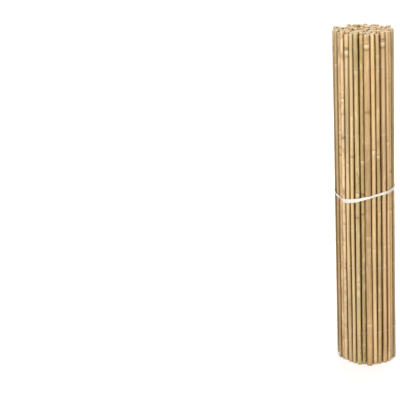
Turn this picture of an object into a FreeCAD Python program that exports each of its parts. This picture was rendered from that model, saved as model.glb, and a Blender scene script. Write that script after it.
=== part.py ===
import FreeCAD, Part
import math
import os

# A screen of thin bamboo canes, laced side by side with rows of binding wire and
# wound up into a roll that stands on the cut ends of its canes. Millimetres, +Z up,
# origin on the floor in the middle of the roll.

SIZES = (
    ("cane_length", 1000, "longest cane, cut end to cut end"),
    ("slim_cane", 12, "diameter of the slim canes"),
    ("middle_cane", 13, "diameter of the middling canes"),
    ("stout_cane", 14.5, "diameter of the stout canes"),
    ("broad_cane", 17, "diameter of the few broad canes"),
    ("cane_wall", 3.5, "wall of a cane"),
    ("hollow_depth", 70, "cut end of a cane to the joint that closes its hollow"),
    ("cane_count", 106, "canes in the whole screen"),
    ("cane_gap", 3.6, "gap between two canes of the screen, where the wires twist"),
    ("end_scatter", 9, "how far the shortest cane ends below the longest"),
    ("foot_scatter", 2, "how far the feet of the inner canes stand off the floor"),
    ("wire_diameter", 0.6, "one strand of the binding wire"),
    ("wire_slack", 0.1, "room between a strand and what it lies against"),
    ("wire_rows", 5, "rows of binding wire"),
    ("wire_margin", 100, "end of the screen to its nearest row of wire"),
    ("wire_tail", 7, "loose end of a row of wire past the last cane"),
    ("turn_slack", 0.25, "room between the canes of two turns"),
    ("laced_canes", 32, "canes from the free edge that the wires are made round"),
    ("strap_width", 12, "width of the tie strap"),
    ("strap_thickness", 0.6, "thickness of the tie strap"),
    ("strap_slack", 0.3, "room between the strap and the canes"),
    ("strap_level", 523, "height of the middle of the strap"),
    ("strap_slant", 8.3, "slant of the strap, degrees"),
    ("strap_low_side", 186, "bearing at which the strap lies lowest, degrees from +X"),
    ("seam_angle", 155, "bearing of the free edge of the screen, degrees from +X"),
)

# The order in which canes of the four sizes follow each other along the screen.
CANE_ORDER = (
    "slim", "middle", "stout", "slim", "middle", "slim", "broad",
    "middle", "slim", "stout", "slim", "middle", "middle",
)
# Shares of the scatter by which successive cane ends fall short of the longest.
TOP_SHARES = (0.25, 0.6, 0.05, 0.8, 0.4, 0.0, 1.0, 0.5, 0.3, 0.7, 0.15)
FOOT_SHARES = (0.5, 1.0, 0.75, 0.3, 0.9)
# Flats round a cane of the outer turn, and round one further in.
SHOWN_SIDES = 18
INNER_SIDES = 10
# Corners of a strand round each cane, and the furthest that it is bent round one.
STRAND_CORNERS = 3
STRAND_WRAP = math.radians(120)


def make_sheet(doc):
    sheet = doc.addObject("Spreadsheet::Sheet", "Sizes")
    for row, (alias, value, meaning) in enumerate(SIZES, start=1):
        sheet.set(f"A{row}", meaning)
        sheet.set(f"B{row}", str(value))
        sheet.setAlias(f"B{row}", alias)
    doc.recompute()
    return sheet


def polar(centre, reach, angle):
    return (centre[0] + reach * math.cos(angle), centre[1] + reach * math.sin(angle))


def bearing(start, end):
    return math.atan2(end[1] - start[1], end[0] - start[0])


def wind(radii, cane_gap, girths, turn_slack):
    """Centres of the canes: each hangs on the one before and swings in until it meets the roll.

    The girth of a cane is its radius, with the wire round it where it is laced."""
    centres = [(0.0, 0.0), (radii[0] + cane_gap + radii[1], 0.0)]
    heading = 0.0
    for i in range(2, len(radii)):
        last = centres[-1]
        step = radii[i - 1] + cane_gap + radii[i]
        outward = heading - math.pi / 2
        swings = []
        for centre, girth in zip(centres[:-1], girths):
            far = math.dist(last, centre)
            apart = girths[i] + girth + turn_slack
            if abs(step - apart) < far < step + apart:
                half = math.acos((step**2 + far**2 - apart**2) / (2 * step * far))
                swings.append((bearing(last, centre) - half - outward) % math.tau)
        heading = outward + min(swings)
        centres.append(polar(last, step, heading))
    return centres


def middle_of(centres, radii):
    sides = []
    for axis in (0, 1):
        low = min(c[axis] - r for c, r in zip(centres, radii))
        high = max(c[axis] + r for c, r in zip(centres, radii))
        sides.append((low + high) / 2)
    return tuple(sides)


def settle(centres, radii, seam_angle):
    """Turns the roll so that its free edge has the wanted bearing, with its middle on the origin."""
    turn = math.radians(seam_angle) - bearing(middle_of(centres, radii), centres[-1])
    turned = [polar((0, 0), math.hypot(x, y), math.atan2(y, x) + turn) for x, y in centres]
    middle = middle_of(turned, radii)
    return [(x - middle[0], y - middle[1]) for x, y in turned]


def turn_numbers(centres):
    """The turn each cane lies in, 1 for the outermost, counted back from the free edge."""
    numbers = [1]
    swept = 0.0
    for outer, inner in zip(centres[:0:-1], centres[-2::-1]):
        swept += (bearing((0, 0), outer) - bearing((0, 0), inner)) % math.tau
        numbers.append(1 + int(swept / math.tau))
    return numbers[::-1]


def round_cane(centre, reach, arrive, leave, side):
    """Corners of the straight runs in which a strand passes round a cane.

    The runs touch a circle of the given reach, from the bearing arrive to the bearing leave."""
    swing = -side * ((arrive - leave) * side % math.tau) / STRAND_CORNERS
    corner = reach / math.cos(swing / 2)
    return [polar(centre, corner, arrive + swing * (n + 0.5)) for n in range(STRAND_CORNERS)]


def strand_path(stations, side):
    """One strand of a row: it passes the canes on one side and the other in turn.

    A station is a centre and the reach at which the strand passes it. The first and the last
    are the bare points between which the strand runs."""
    path = [stations[0][0]]
    arrive = 0.0
    for (here, reach), (there, next_reach) in zip(stations, stations[1:]):
        lean = math.acos((reach + next_reach) / math.dist(here, there))
        leave = bearing(here, there) + side * lean
        if reach:
            path += round_cane(here, reach, arrive, leave, side)
        arrive = leave + math.pi
        side = -side
    return path + [stations[-1][0]]


def gap_middle(centres, radii, i):
    """The middle of the gap between a cane and the next one."""
    gap = math.dist(centres[i], centres[i + 1]) - radii[i] - radii[i + 1]
    return polar(centres[i], radii[i] + gap / 2, bearing(centres[i], centres[i + 1]))


def free_end(centres, radii, tail):
    """The tip of a row of wire, in line with the last two canes."""
    return polar(centres[-1], radii[-1] + tail, bearing(centres[-2], centres[-1]))


def strand_outline(path, width):
    """A strand seen from above, along a flat path of straight runs."""
    sides = ([], [])
    for n, point in enumerate(path):
        arrive = bearing(path[n - 1], point) if n else bearing(point, path[1])
        leave = bearing(point, path[n + 1]) if n + 1 < len(path) else arrive
        bend = (leave - arrive + math.pi) % math.tau - math.pi
        across = arrive + bend / 2 + math.pi / 2
        half = width / 2 / math.cos(bend / 2)
        sides[0].append(polar(point, half, across))
        sides[1].append(polar(point, -half, across))
    loop = sides[0] + sides[1][::-1]
    corners = [FreeCAD.Vector(x, y, 0) for x, y in loop + loop[:1]]
    return Part.Face(Part.makePolygon(corners))


def hull(centres, radii):
    """The canes that a tight strap touches, each with the bearings between which it lies on it."""
    start = max(range(len(centres)), key=lambda n: centres[n][0] + radii[n])
    stops = []
    cane, facing = start, 0.0
    while facing < math.tau:
        turns = []
        for n, centre in enumerate(centres):
            if n != cane:
                lean = math.acos((radii[cane] - radii[n]) / math.dist(centres[cane], centre))
                turns.append(((bearing(centres[cane], centre) - lean - facing) % math.tau, n))
        turn, following = min(turns)
        stops.append((cane, facing, facing + turn))
        cane, facing = following, facing + turn
    # The strap comes back to the cane that it started from.
    stops[0] = (start, stops.pop()[1] - math.tau, stops[0][2])
    return stops


def strap_loop(centres, radii, clear):
    """The line of a tight strap: straight runs that touch each outermost cane at a distance."""
    corners = []
    for cane, arrive, leave in hull(centres, radii):
        reach = (radii[cane] + clear) / math.cos((leave - arrive) / 2)
        corners.append(FreeCAD.Vector(*polar(centres[cane], reach, (arrive + leave) / 2), 0))
    return Part.makePolygon(corners + corners[:1])


def add_rod(doc, name, sides, spot):
    rod = doc.addObject("Part::Prism", name)
    rod.Polygon = sides
    rod.Placement.Base = FreeCAD.Vector(*spot, 0)
    return rod


def add_cane(doc, name, kind, index, shown, spot):
    """A cane bound to the sheet, with a blind hollow in one end: in its top, or else in its foot."""
    foot = f"Sizes.foot_scatter * {0 if shown else FOOT_SHARES[index % len(FOOT_SHARES)]}"
    top = f"Sizes.cane_length - Sizes.end_scatter * {TOP_SHARES[index % len(TOP_SHARES)]}"
    cane = add_rod(doc, name, SHOWN_SIDES if shown else INNER_SIDES, spot)
    cane.setExpression("Circumradius", f"Sizes.{kind}_cane / 2")
    cane.setExpression("Height", f"{top} - {foot}")
    cane.setExpression("Placement.Base.z", foot)
    hollow = add_rod(doc, f"{name}_hollow", cane.Polygon // 2, spot)
    hollow.setExpression("Circumradius", f"Sizes.{kind}_cane / 2 - Sizes.cane_wall")
    hollow.setExpression("Height", "Sizes.hollow_depth")
    hollow.setExpression("Placement.Base.z", f"{top} - Sizes.hollow_depth" if index % 2 else foot)
    cut = doc.addObject("Part::Cut", f"{name}_cut")
    cut.Base = cane
    cut.Tool = hollow
    return cut


def add_outline(doc, name, face):
    """A flat face worked out from where the canes lie, for a solid to be raised from."""
    outline = doc.addObject("Part::Feature", name)
    outline.Shape = face
    return outline


def add_raised(doc, name, outline, width, level):
    """The solid above an outline: its height is the width, and its middle lies at the level."""
    solid = doc.addObject("Part::Extrusion", name)
    solid.Base = outline
    solid.DirMode = "Custom"
    solid.Dir = FreeCAD.Vector(0, 0, 1)
    solid.Solid = True
    solid.setExpression("LengthFwd", width)
    solid.setExpression("Placement.Base.z", f"{level} - {width} / 2")
    return solid


def add_slanted(doc, name, sleeve, outline, width):
    """The part of an upright sleeve that lies within half a width of a slanted outline."""
    plate = doc.addObject("Part::Extrusion", f"{name}_plate")
    plate.Base = outline
    plate.DirMode = "Normal"
    plate.Symmetric = True
    plate.Solid = True
    plate.setExpression("LengthFwd", width)
    band = doc.addObject("Part::Common", name)
    band.Base = sleeve
    band.Tool = plate
    return band


def add_group(doc, name, links):
    """A piece of the part, with the name of its file."""
    group = doc.addObject("Part::Compound", name)
    group.Label = name
    group.Links = links
    return group


def main():
    doc = FreeCAD.newDocument("screening_roll")
    sizes = make_sheet(doc)
    kinds = [CANE_ORDER[n % len(CANE_ORDER)] for n in range(int(sizes.cane_count))]
    radii = [getattr(sizes, f"{kind}_cane") / 2 for kind in kinds]
    first_laced = max(1, len(radii) - int(sizes.laced_canes))
    rise = sizes.wire_diameter + sizes.wire_slack
    corner_rise = (sizes.broad_cane / 2 + rise) / math.cos(STRAND_WRAP / 2 / STRAND_CORNERS)
    lacing = corner_rise - sizes.broad_cane / 2
    girths = [radius + (lacing if n >= first_laced else 0) for n, radius in enumerate(radii)]
    centres = wind(radii, sizes.cane_gap, girths, sizes.turn_slack)
    centres = settle(centres, radii, sizes.seam_angle)
    turns = turn_numbers(centres)

    pieces = []
    for turn in range(1, max(turns) + 1):
        canes = []
        for n, number in enumerate(turns):
            if number == turn:
                canes.append(add_cane(doc, f"cane_{n + 1}", kinds[n], n, turn == 1, centres[n]))
        pieces.append(add_group(doc, f"canes_turn_{turn}", canes))

    # The wires are made round the canes of the outer turn, where they show. They come out of
    # the gap behind the first of those canes and end just past the free edge.
    reach = sizes.wire_diameter / 2 + sizes.wire_slack
    ends = [gap_middle(centres, radii, first_laced - 1), free_end(centres, radii, sizes.wire_tail)]
    laced = [(centres[n], radii[n] + reach) for n in range(first_laced, len(radii))]
    stations = [(ends[0], 0), *laced, (ends[1], 0)]
    outlines = {}
    for side in (1, -1):
        outline = strand_outline(strand_path(stations, side), sizes.wire_diameter)
        outlines[side] = add_outline(doc, "upper_strand" if side > 0 else "lower_strand", outline)
    pitch = "(Sizes.cane_length - 2 * Sizes.wire_margin) / (Sizes.wire_rows - 1)"
    for row in range(int(sizes.wire_rows)):
        strands = []
        for side, outline in outlines.items():
            drop = f"{side} * (Sizes.wire_diameter + Sizes.wire_slack) / 2"
            level = f"Sizes.wire_margin + {row} * {pitch} + {drop}"
            name = f"{outline.Name}_{row + 1}"
            strands.append(add_raised(doc, name, outline, "Sizes.wire_diameter", level))
        pieces.append(add_group(doc, f"binding_wire_{row + 1}", strands))

    first = turns.index(1)
    tied = (centres[first:], radii[first:])
    inside = strap_loop(*tied, sizes.strap_slack)
    outside = strap_loop(*tied, sizes.strap_slack + sizes.strap_thickness)
    ring = add_outline(doc, "strap_outline", Part.Face(outside).cut(Part.Face(inside)))
    sleeve = add_raised(doc, "strap_sleeve", ring, "Sizes.cane_length", "Sizes.strap_level")
    reach = max(math.hypot(*centre) for centre in centres) + sizes.broad_cane
    disc = add_outline(doc, "strap_disc", Part.Face(Part.Wire(Part.makeCircle(reach))))
    hinge = polar((0, 0), 1, math.radians(sizes.strap_low_side + 90))
    disc.Placement.Rotation = FreeCAD.Rotation(FreeCAD.Vector(*hinge, 0), sizes.strap_slant)
    disc.setExpression("Placement.Rotation.Angle", "Sizes.strap_slant")
    disc.setExpression("Placement.Base.z", "Sizes.strap_level")
    pieces.append(add_slanted(doc, "tie_strap", sleeve, disc, "Sizes.strap_width"))

    doc.recompute()
    for item in doc.Objects:
        if "Invalid" in item.State or "Error" in item.State:
            raise RuntimeError(f"{item.Name} failed: {item.State}")
    os.makedirs("parts", exist_ok=True)
    for piece in pieces:
        if piece.Shape.isNull() or not piece.Shape.isValid():
            raise RuntimeError(f"{piece.Label} has no valid shape")
        piece.Shape.exportStep(f"parts/{piece.Label}.step")
        box = piece.Shape.BoundBox
        print(piece.Label, len(piece.Shape.Solids), "solids", [round(v, 2) for v in (
            box.XMin, box.XMax, box.YMin, box.YMax, box.ZMin, box.ZMax)])


main()
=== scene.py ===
"""A roll of bamboo cane screening, dressed for show.

The canes stand where the solids of the frame stand. Each gets its joints, taper, crook, cut
ends and skin, the rows of twisted wire lie round them, and a white tape ties the roll.
"""

import logging
import math
from dataclasses import dataclass, field
from enum import Enum

import bpy
import numpy as np
from mathutils import Matrix, Vector
from mathutils.geometry import convex_hull_2d

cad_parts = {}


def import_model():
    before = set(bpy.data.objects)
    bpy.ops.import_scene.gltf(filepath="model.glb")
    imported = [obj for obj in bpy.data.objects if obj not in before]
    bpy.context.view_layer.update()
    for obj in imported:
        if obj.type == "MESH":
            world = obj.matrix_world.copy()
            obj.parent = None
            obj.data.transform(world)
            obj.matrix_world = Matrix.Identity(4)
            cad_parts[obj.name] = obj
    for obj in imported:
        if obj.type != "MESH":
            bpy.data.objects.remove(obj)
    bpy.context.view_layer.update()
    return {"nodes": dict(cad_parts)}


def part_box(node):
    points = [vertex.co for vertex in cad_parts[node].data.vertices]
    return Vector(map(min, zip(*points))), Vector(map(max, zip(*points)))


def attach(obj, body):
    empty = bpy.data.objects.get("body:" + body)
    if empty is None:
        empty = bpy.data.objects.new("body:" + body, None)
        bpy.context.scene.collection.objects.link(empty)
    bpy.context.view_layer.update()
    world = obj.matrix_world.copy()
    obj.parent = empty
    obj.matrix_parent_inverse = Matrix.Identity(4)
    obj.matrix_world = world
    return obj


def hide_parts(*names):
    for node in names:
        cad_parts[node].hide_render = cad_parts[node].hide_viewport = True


LOG = logging.getLogger("screening_roll")
MM = 0.001
TAU = math.tau
UP = np.array([0.0, 0.0, 1.0])
# Kinds of value that a mesh carries by name.
NUMBER, VECTOR = "FLOAT", "FLOAT_VECTOR"
# Where the chances of the canes and of the creases of the tape start from.
CANE_SEED, CREASE_SEED = 4100, 77

Colour = tuple[float, float, float]
Spot = tuple[float, float, float]
Range = tuple[float, float]
Row = tuple[float, ...]
Socket = bpy.types.NodeSocket
Node = bpy.types.Node
Tree = bpy.types.NodeTree
Material = bpy.types.Material
Piece = bpy.types.Object


def linear(red: int, green: int, blue: int) -> Colour:
    """A colour as a shader wants it.

    Args:
        red, green, blue: the colour as a screen shows it, 0 to 255.

    Returns:
        The same colour in linear light.
    """
    shares = (red / 255, green / 255, blue / 255)
    return tuple(s / 12.92 if s <= 0.04045 else ((s + 0.055) / 1.055) ** 2.4 for s in shares)


def unit(ways: np.ndarray) -> np.ndarray:
    """Vectors of length 1 that point the same ways."""
    return ways / np.linalg.norm(ways, axis=-1, keepdims=True)


def gone_along(line: np.ndarray) -> np.ndarray:
    """The distance along a line at each of its points."""
    return np.concatenate([[0], np.cumsum(np.linalg.norm(np.diff(line, axis=0), axis=1))])


class Tone(Enum):
    """The colours that dried cane skin takes."""

    GOLDEN = linear(224, 188, 132)
    HONEY = linear(216, 178, 120)
    STRAW = linear(216, 188, 136)
    GREEN_STRAW = linear(202, 176, 122)
    LEAF = linear(190, 164, 108)
    PALE = linear(232, 198, 150)
    PEACH = linear(212, 175, 128)
    ROSE_TAN = linear(190, 154, 105)
    DUN = linear(194, 165, 114)
    TAN = linear(206, 171, 122)
    OLIVE = linear(182, 158, 112)


class Zone(Enum):
    """The surfaces of a cane, by the way they are finished."""

    SKIN = 0
    CUT = 1
    HOLLOW = 2


# Canes.


@dataclass(frozen=True)
class Joint:
    """A joint of a cane: how far it swells, and how strongly its colours show."""

    height: float
    swell: float
    shown: float


@dataclass(frozen=True)
class JointShape:
    """The form of a joint by distance above it in millimetres, for a cane of full girth.

    The rows are the girth added as a share, how strongly bloom, scar and ridge show, and how far
    the bud stands out and the groove above it is sunk.
    """

    reach: Row = (-16, -10, -4.5, -2.6, -1.8, -1.2, -0.5, 0.6, 1.8, 3.0, 5.5, 12)
    girth: Row = (0, 0.004, 0.012, 0.022, 0.064, 0.022, 0.03, 0.066, 0.078, 0.048, 0.014, 0)
    bloom: Row = (0, 0.55, 1, 0.9, 0.1, 0, 0, 0, 0, 0, 0, 0)
    scar: Row = (0, 0, 0, 0.15, 1, 0.9, 0.15, 0, 0, 0, 0, 0)
    ridge: Row = (0, 0, 0, 0, 0, 0.3, 0.6, 0.9, 1, 0.6, 0.2, 0)
    bud: Row = (0, 0, 0, 0, 0, 0.2, 0.8, 1, 0.7, 0.3, 0, 0)
    groove: Row = (0, 0, 0, 0, 0, 0, 0, 0.3, 0.7, 1, 1, 0.8)
    # The few distances that a cane further in has rings at.
    main_reach: Row = (-9, -1.8, 0.6, 3.0)
    bud_height: float = 0.5 * MM
    groove_share: float = 0.022

    def sample(self, row: Row, above: np.ndarray) -> np.ndarray:
        """The value of a row at some distances above the joint, in metres."""
        return np.interp(above / MM, self.reach, row, left=0.0, right=0.0)


@dataclass
class Cane:
    """One cane of the screen: where its solid stands, and how it grew."""

    centre: Vector
    radius: float
    foot: float
    top: float
    number: int
    tone: Colour = Tone.STRAW.value
    joints: list[Joint] = field(default_factory=list)
    grows_up: bool = True
    crook: float = 1.0 * MM
    body: float = 1.005
    taper: float = 0.035
    wall: float = 3.4 * MM
    least_bore: float = 1.4 * MM
    edge: float = 0.6 * MM
    lip_inside: float = 0.35 * MM
    lip_outside: float = 0.45 * MM
    # How much of the crook is kinks at the joints. The rest is a long wave.
    kinked: float = 0.75
    end_reach: float = 6 * MM
    # The way from a cut end over which the painted shade between the canes grows to its full strength.
    gap_shade_reach: float = 40 * MM
    shade_reach: float = 380 * MM
    shade_bend: float = 0.7
    smudge_reach: float = 3.2 * MM
    smudge_depth: float = 0.95
    smudge_rings: Row = (-6, -3, 0, 3, 6)
    freckled: float = 0.3
    # How far the painted shade between the canes reaches round this cane's flanks.
    flank_shade: float = 0.1
    smudges: Row = ()
    aside: float = 0.0
    # Painted shade: the colour that the skin darkens towards away from the cut ends; white leaves it as it
    # is.
    shade: Colour = (1.0, 1.0, 1.0)
    shape: JointShape = JointShape()

    def __post_init__(self) -> None:
        """Draws the cane's own chances, the same on every run."""
        self.chance = np.random.default_rng(CANE_SEED + self.number)
        self.phases = self.chance.uniform(0, TAU, 4)
        self.cut_side = float(self.chance.uniform(0, TAU))
        self.slants = self.chance.uniform(0.0, 0.05, 2)
        self.depths = self.chance.choice((9, 16, 28, 45, 62), 2) * MM
        self.lightness = self.chance.normal(1.0, 0.055, 6)
        self.kinks = self.chance.uniform(-1.0, 1.0, 12)

    @property
    def outward(self) -> Vector:
        """The direction from the middle of the roll to the cane."""
        flat = Vector((self.centre.x, self.centre.y, 0))
        return flat.normalized() if flat.length > MM else Vector((1, 0, 0))

    @property
    def knees(self) -> list[float]:
        """The heights of the joints, rising."""
        return sorted(joint.height for joint in self.joints)

    @property
    def way(self) -> int:
        """1 where the cane grew upwards, or -1."""
        return 1 if self.grows_up else -1

    def axis_at(self, heights: np.ndarray) -> np.ndarray:
        """The middle of the cane: straight between joints, with a kink at each.

        Args:
            heights: the heights.

        Returns:
            A point for each height.
        """
        along = np.asarray(heights, float)
        stops = [self.foot, *self.knees, self.top]
        sway = self.kinked * np.interp(along, stops, self.kinks[: len(stops)])
        sway += (1 - self.kinked) * np.sin(TAU * along * 1.3 + self.phases[1])
        bow = np.sin(TAU * along * 1.1 + self.phases[2]) * 0.12
        out = self.outward
        side = Vector((-out.y, out.x, 0))
        spots = np.empty((len(along), 3))
        for axis in (0, 1):
            spots[:, axis] = self.centre[axis] + self.crook * (side[axis] * sway + out[axis] * bow)
            spots[:, axis] += self.aside * side[axis]
        spots[:, 2] = along
        return spots

    def mark_at(self, row: Row, heights: np.ndarray, colour: bool = False) -> np.ndarray:
        """What the joints add at some heights.

        Args:
            row: what they add by distance above a joint.
            heights: the heights.
            colour: whether it is a colour, which shows less at some joints than the form does.

        Returns:
            The sum at each height.
        """
        total = np.zeros(len(heights))
        for joint in self.joints:
            above = (heights - joint.height) * self.way
            total += self.shape.sample(row, above) * (joint.shown if colour else joint.swell)
        return total

    def girth_at(self, heights: np.ndarray) -> np.ndarray:
        """The radius of the skin.

        Args:
            heights: the heights.

        Returns:
            The radius at each.
        """
        share = np.clip((heights - self.foot) / (self.top - self.foot), 0, 1)
        thin = share if self.grows_up else 1 - share
        return self.radius * (self.body - self.taper * thin + self.mark_at(self.shape.girth, heights))

    def skin_heights(self, count: int, fine: bool) -> np.ndarray:
        """Heights at which the skin has a ring, close together at the joints.

        Args:
            count: how many rings there are.
            fine: whether the joints get all their rings or only the main ones.

        Returns:
            The heights, rising.
        """
        heights = [self.foot + self.edge, self.top - self.edge]
        room = 3 * self.edge
        for joint in self.joints:
            for reach in self.shape.reach if fine else self.shape.main_reach:
                height = joint.height + reach * MM * self.way
                if self.foot + room < height < self.top - room:
                    heights.append(height)
        for smudge in self.smudges:
            heights += [smudge + step * MM for step in self.smudge_rings]
        heights.sort()
        while len(heights) < count:
            widest = int(np.argmax(np.diff(heights)))
            heights.insert(widest + 1, (heights[widest] + heights[widest + 1]) / 2)
        return np.array(heights[:count])

    def end_rings(self, rim: float, inward: int, depth: float, girth: float) -> np.ndarray:
        """The rings of a cut end, from the joint that closes its hollow to the rim of the cut.

        Args:
            rim: the height of the end.
            inward: 1 where the cane lies above this end, or -1.
            depth: how deep the hollow goes.
            girth: the radius of the skin at the end.

        Returns:
            The height and the radius of each ring.
        """
        bore = max(girth - self.wall, self.least_bore)
        return np.array(
            [
                (rim + inward * depth * 1.04, 0.0),
                (rim + inward * depth, bore * 0.93),
                (rim + inward * depth * 0.45, bore),
                (rim + inward * self.edge, bore),
                (rim, bore + self.lip_inside),
                (rim, girth - self.lip_outside),
            ]
        )

    def rings(self, count: int, fine: bool) -> dict[str, np.ndarray]:
        """All rings of the cane, from the bottom of its lower bore to the top of its upper one.

        Args:
            count: how many rings the skin has.
            fine: whether the joints get all their rings.

        Returns:
            For each named value, its row over the rings.
        """
        heights = self.skin_heights(count, fine)
        skin = self.girth_at(heights)
        lower = self.end_rings(self.foot, 1, self.depths[0], skin[0])
        upper = self.end_rings(self.top, -1, self.depths[1], skin[-1])[::-1]
        z, reach = np.concatenate([lower, np.stack([heights, skin], 1), upper]).T
        zone = [Zone.HOLLOW] * 3 + [Zone.CUT] * 3 + [Zone.SKIN] * (count - 1)
        zone += [Zone.CUT] * 3 + [Zone.HOLLOW] * 4
        slant = np.zeros(len(z))
        slant[3:7] = self.slants[0]
        slant[-7:-3] = -self.slants[1]
        # One row marks the wall that closes a bore, and on the skin the way from the cut end.
        from_end = np.minimum(z - self.foot, self.top - z) - self.end_reach
        inside = np.clip(from_end / self.gap_shade_reach, 0, 1)
        inside[:6] = inside[-6:] = 0
        inside[:2] = inside[-2:] = 1
        # Painted shade: the skin of a cane of an inner turn darkens towards its shade colour, deepening over
        # shade_reach from the cut ends.
        shaded = np.clip(from_end / self.shade_reach, 0, 1) ** self.shade_bend
        shade = 1 - (1 - np.array(self.shade)[None, :]) * shaded[:, None]
        internode = np.searchsorted(self.knees, z)
        light = self.lightness[np.clip(internode, 0, 5)]
        smudged = np.zeros(len(z))
        for height in self.smudges:
            smudged += np.exp(-(((z - height) / self.smudge_reach) ** 2))
        form = self.shape
        bloom, scar, ridge = (self.mark_at(row, z, True) for row in (form.bloom, form.scar, form.ridge))
        groove = np.clip(self.mark_at(form.groove, z), 0, 1) * form.groove_share
        values = {
            "position": self.axis_at(z),
            "reach": reach,
            "zone": np.array([part.value for part in zone], float),
            "slant": slant,
            "bud_side": self.phases[3] + math.pi * (internode % 2),
            "bud": self.mark_at(form.bud, z) * form.bud_height,
            "groove": groove * reach,
            "tone": np.array(self.tone)[None, :] * light[:, None] * shade,
            "marks": np.stack([bloom, scar + self.smudge_depth * smudged, ridge], 1),
            "habit": np.stack([np.full(len(z), self.freckled), inside, z], 1),
        }
        same = {
            "cut_side": self.cut_side,
            "out_side": math.atan2(self.outward.y, self.outward.x),
            "flank_shade": self.flank_shade,
            "own_place": self.number * np.array([0.37, 0.61, 0.13]),
        }
        return values | {name: np.full((len(z), *np.shape(v)), v) for name, v in same.items()}


@dataclass(frozen=True)
class FrontCane:
    """A cane of the outer turn whose looks are known.

    Its joints are pairs of height and how strongly their colours show. Smudges are dark spots
    by height, then comes how far the painted shade between the canes reaches round its
    flanks, and aside is how many millimetres it has slid along the turn.
    """

    tone: Tone
    joints: tuple[tuple[float, float], ...]
    freckled: float = 0.25
    flank_shade: float = 0.0
    smudges: Row = ()
    aside: float = 0.0


# Canes of the outer turn by their place after the first.
KNOWN_CANES: dict[int, FrontCane] = {
    2: FrontCane(Tone.OLIVE, ((0.905, 0.5),), 0.4, 0.0, aside=2.2),
    3: FrontCane(Tone.TAN, ((0.36, 0.4), (0.71, 0.7)), 1.0, -0.4, (0.66, 0.637), aside=1.5),
    4: FrontCane(Tone.PALE, ((0.43, 0.6), (0.808, 1.2)), 1.0, 0.0, (0.69,), aside=-1.2),
    5: FrontCane(Tone.STRAW, ((0.62, 0.4), (0.95, 1.2)), 0.4, 0.35, (0.954, 0.93), aside=0.3),
    6: FrontCane(Tone.STRAW, ((0.426, 0.4), (0.76, 0.4)), 0.35, 0.3, (0.64,), aside=0.2),
    7: FrontCane(Tone.GREEN_STRAW, ((0.536, 0.9), (0.896, 0.5)), 0.8, 0.15, (0.46,), aside=1.3),
    8: FrontCane(Tone.LEAF, ((0.632, 0.6),), 0.7, -0.2, (0.53, 0.47), aside=0.7),
    9: FrontCane(Tone.ROSE_TAN, ((0.68, 0.25), (0.971, 1.1)), 0.5, 0.0, (0.954, 0.775)),
    10: FrontCane(Tone.GOLDEN, ((0.365, 0.5), (0.662, 0.9)), 0.35, aside=-1.0),
    11: FrontCane(Tone.DUN, ((0.475, 0.4), (0.645, 0.8)), 0.5, 0.1, aside=-1.7),
    12: FrontCane(Tone.PEACH, ((0.71, 0.3), (0.972, 1.2)), 0.4, 0.25, (0.978, 0.955), aside=-1.0),
    13: FrontCane(Tone.GOLDEN, ((0.37, 0.5), (0.68, 0.9)), 0.3, 0.3, aside=-2.0),
    14: FrontCane(Tone.GOLDEN, ((0.47, 0.9), (0.86, 0.6)), 0.6, 0.15, (0.585,), aside=0.2),
    15: FrontCane(Tone.OLIVE, ((0.735, 0.3),), 0.3, 0.1),
}


def points_of(node: Piece) -> np.ndarray:
    """The corner points of a node's mesh of loose triangles.

    Args:
        node: the node's object.

    Returns:
        The points, one row each.
    """
    spots = np.zeros(len(node.data.vertices) * 3)
    node.data.vertices.foreach_get("co", spots)
    return spots.reshape(-1, 3)


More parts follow.
